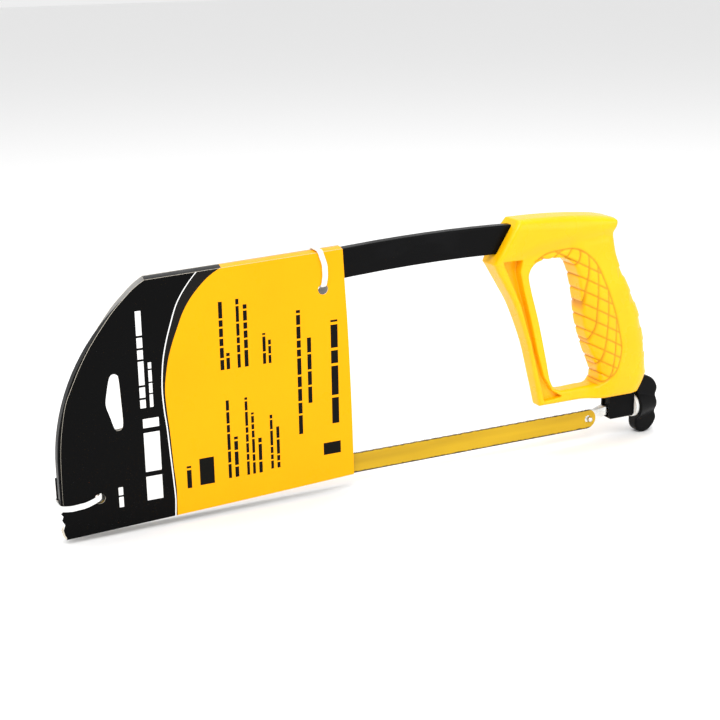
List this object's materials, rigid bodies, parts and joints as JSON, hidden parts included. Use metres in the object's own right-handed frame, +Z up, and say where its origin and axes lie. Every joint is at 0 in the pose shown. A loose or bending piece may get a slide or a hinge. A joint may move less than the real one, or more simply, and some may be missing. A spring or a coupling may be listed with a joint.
{
  "type": "hacksaw",
  "caption": "Fixed-bow hacksaw with a flat-bar frame, full-size blade, closed moulded handle and winged tension knob, with the folded retail card tied over its front half.",
  "frame": {"origin": "middle of the underside of the whole saw, at the height of the lower wing tip of the tension knob, on the bow's middle plane", "axes": "+X along the blade from the nose to the handle, +Z up from the blade to the bow's back, +Y away from the side that carries the blade"},
  "size_m": [0.3766, 0.0282, 0.144],
  "materials": {
    "bow_paint": "semi-gloss black",
    "handle_plastic": "glossy yellow",
    "socket_paint": "satin black",
    "zinc": "bright zinc plated",
    "blade_paint": "golden yellow paint, dark at the edges",
    "washer_nylon": "white nylon",
    "knob_plastic": "satin black",
    "card": "printed coated paperboard",
    "tie_nylon": "translucent white nylon"
  },
  "bodies": {
    "saw": {"frame_bow": "bow_paint", "handle": "handle_plastic", "front_socket": "socket_paint", "rear_socket": "socket_paint", "front_socket_rivet": "zinc", "rear_socket_rivet": "socket_paint", "front_stud": "zinc", "rear_stud": "zinc", "front_blade_pin": "zinc", "rear_blade_pin": "zinc", "blade": "blade_paint", "display_card": "card", "card_tie_front": "tie_nylon", "card_tie_rear": "tie_nylon"},
    "washer": {"tension_washer": "washer_nylon"},
    "knob": {"tension_knob": "knob_plastic", "knob_nut": "zinc"}
  },
  "joints": [
    {"name": "knob_travel", "type": "slide", "parent": "saw", "child": "washer", "axis": [1, 0, 0], "range_m": [0, 0.006]},
    {"name": "knob_spin", "type": "hinge", "parent": "washer", "child": "knob", "pos_m": [0.17255, 0, 0.0182], "axis": [1, 0, 0], "range_deg": [0, 2160]}
  ],
  "couplings": [
    {"joint": "knob_travel", "follows": "knob_spin", "m_per_rad": 0.00015915}
  ]
}
